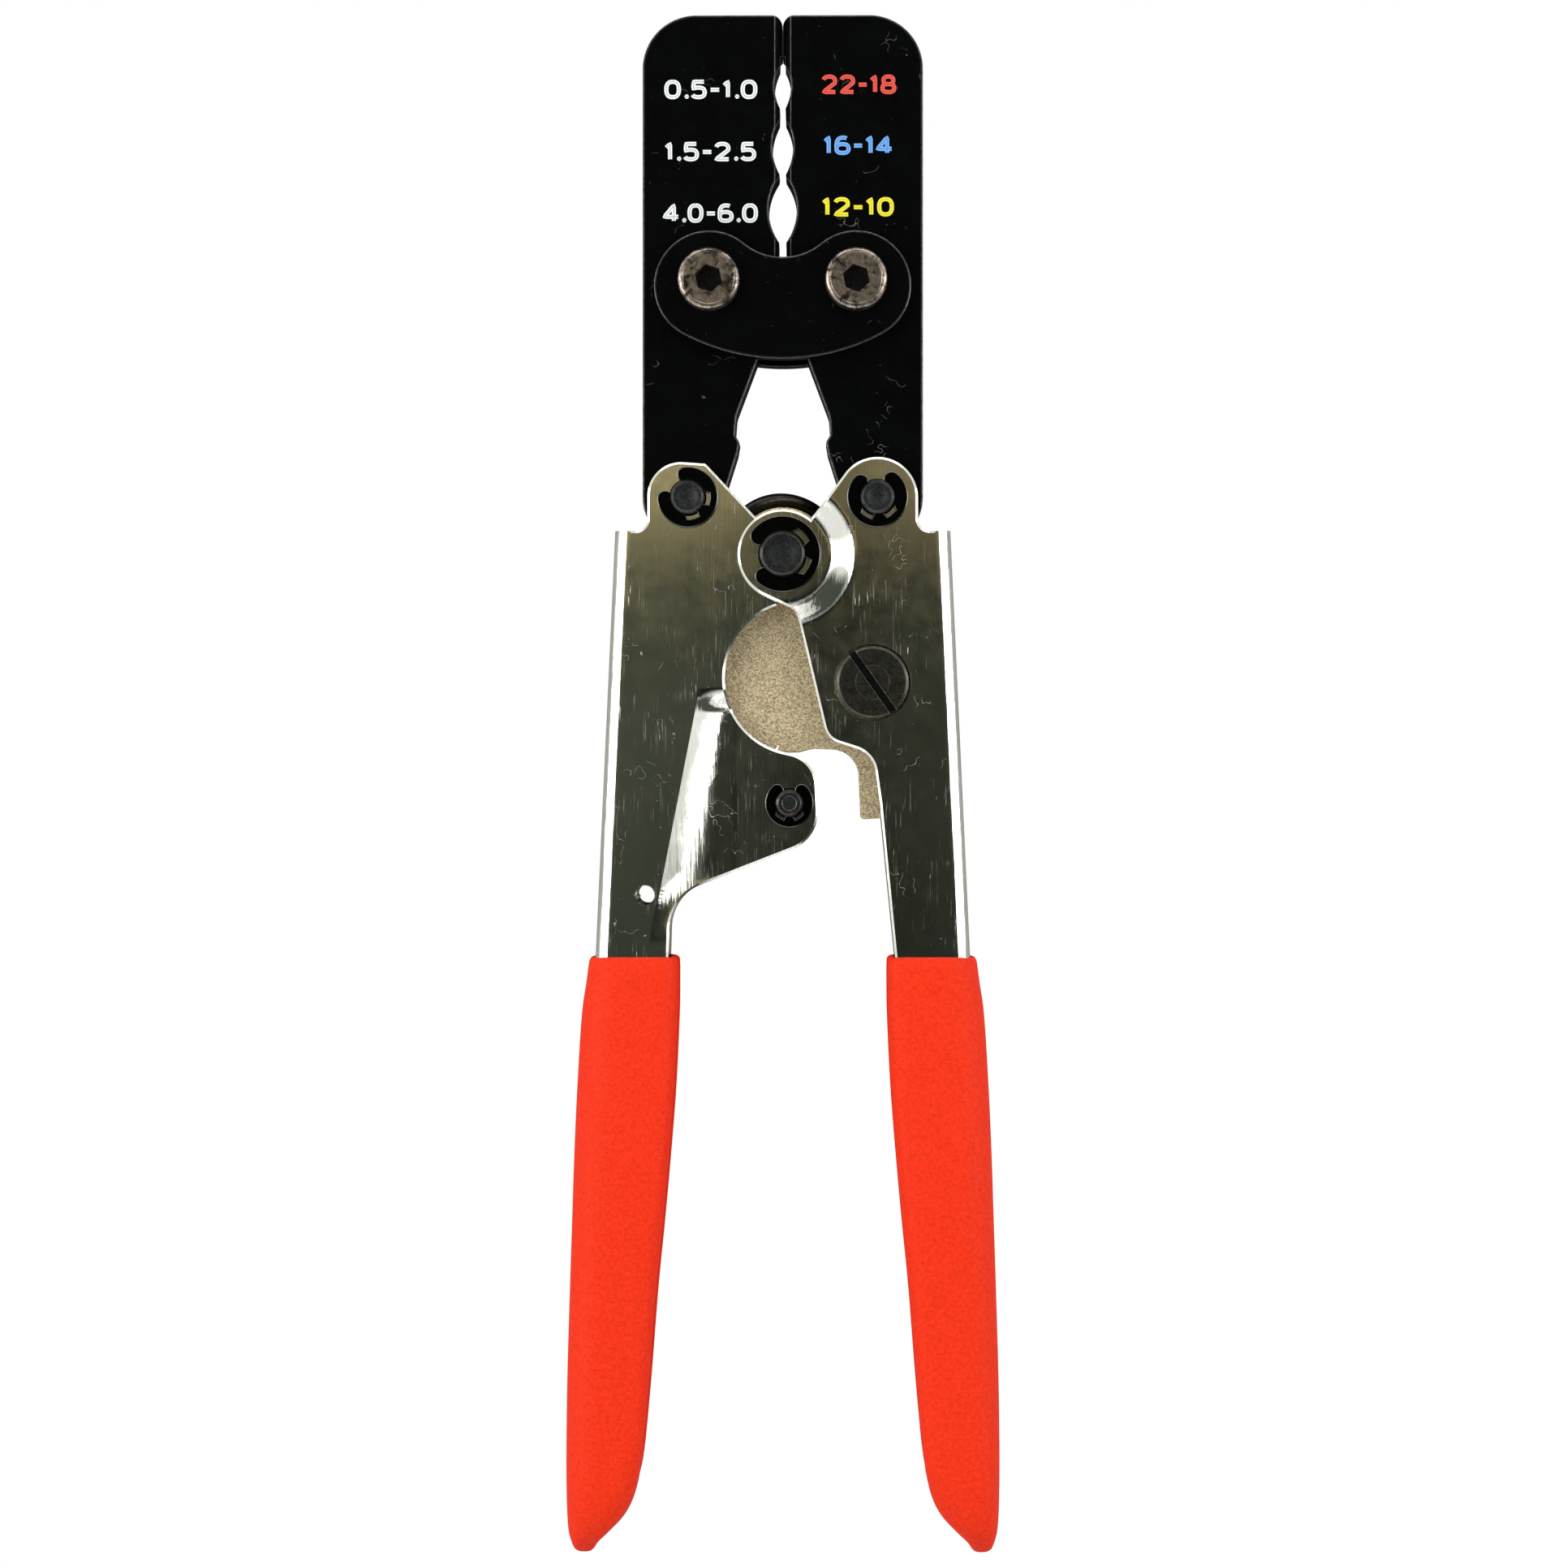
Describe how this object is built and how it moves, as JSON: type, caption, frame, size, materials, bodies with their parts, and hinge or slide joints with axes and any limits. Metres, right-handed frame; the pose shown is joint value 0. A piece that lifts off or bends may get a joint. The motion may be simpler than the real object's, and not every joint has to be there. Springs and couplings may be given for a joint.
{
  "type": "ratchet crimping tool",
  "caption": "Ratchet crimping tool: twin jaws on link plates, channel handles with dipped grips, toothed plate and pawl, sprung open.",
  "frame": {"origin": "middle of the bounding box, on the surface the closed tool lies on, with its front face up", "axes": "+X to the right seen from the front, +Y towards the jaw tips, +Z out of the front face"},
  "size_m": [0.0712, 0.2522, 0.0211],
  "materials": {
    "black_oxide": "satin black oxide with worn bright edges",
    "socket_screw": "dull nickel with dark stains",
    "chrome_sheet": "bright plated sheet with fine scratches",
    "dipped_vinyl": "matt orange-red dipped vinyl",
    "dark_pin": "dark steel with bright chamfers",
    "black_clip": "glossy black",
    "sintered_steel": "rough tan sintered surface",
    "gunmetal": "dark gunmetal",
    "spring_steel": "bright wire",
    "spring_wire": "black oiled wire"
  },
  "bodies": {
    "right_handle": {"right_handle": "chrome_sheet", "right_grip": "dipped_vinyl", "right_ear_pin": "dark_pin", "right_ear_clip": "black_clip", "pivot_pin": "dark_pin", "pivot_clip": "black_clip", "ratchet_plate": "sintered_steel", "adjuster_screw": "gunmetal", "adjuster_spacer": "gunmetal", "adjuster_nut": "gunmetal", "opening_spring": "spring_wire"},
    "left_handle": {"left_handle": "chrome_sheet", "left_grip": "dipped_vinyl", "left_ear_pin": "dark_pin", "left_ear_clip": "black_clip", "pawl_pin": "dark_pin", "pawl_clip": "black_clip", "pawl_spring": "spring_steel"},
    "pawl": {"pawl": "sintered_steel"},
    "right_jaw": {"right_jaw": "black_oxide"},
    "left_jaw": {"left_jaw": "black_oxide"},
    "link": {"front_link_plate": "black_oxide", "rear_link_plate": "black_oxide", "left_link_screw": "socket_screw", "right_link_screw": "socket_screw"}
  },
  "joints": [
    {"name": "handle_hinge", "type": "hinge", "parent": "right_handle", "child": "left_handle", "pos_m": [0, 0.03745, 0.0101], "axis": [0, 0, -1], "range_deg": [0, 40], "deforming": ["opening_spring"]},
    {"name": "right_jaw_hinge", "type": "hinge", "parent": "right_handle", "child": "right_jaw", "pos_m": [0.0155, 0.04685, 0.0101], "axis": [0, 0, -1], "range_deg": [0, 27]},
    {"name": "left_jaw_hinge", "type": "hinge", "parent": "left_handle", "child": "left_jaw", "pos_m": [-0.0155, 0.04685, 0.0101], "axis": [0, 0, -1], "range_deg": [-27, 0]},
    {"name": "link_hinge", "type": "hinge", "parent": "right_jaw", "child": "link", "pos_m": [0.012, 0.08215, 0.0101], "axis": [0, 0, -1], "range_deg": [-7, 0]},
    {"name": "pawl_hinge", "type": "hinge", "parent": "left_handle", "child": "pawl", "pos_m": [0.0011, -0.00315, 0.0101], "axis": [0, 0, -1], "range_deg": [-20, 20], "stiffness_Nm_per_rad": 0.05, "deforming": ["pawl_spring"]}
  ],
  "couplings": [
    {"joint": "right_jaw_hinge", "follows": "handle_hinge", "ratio": 0.662},
    {"joint": "left_jaw_hinge", "follows": "handle_hinge", "ratio": -0.662},
    {"joint": "link_hinge", "follows": "handle_hinge", "ratio": -0.162}
  ]
}
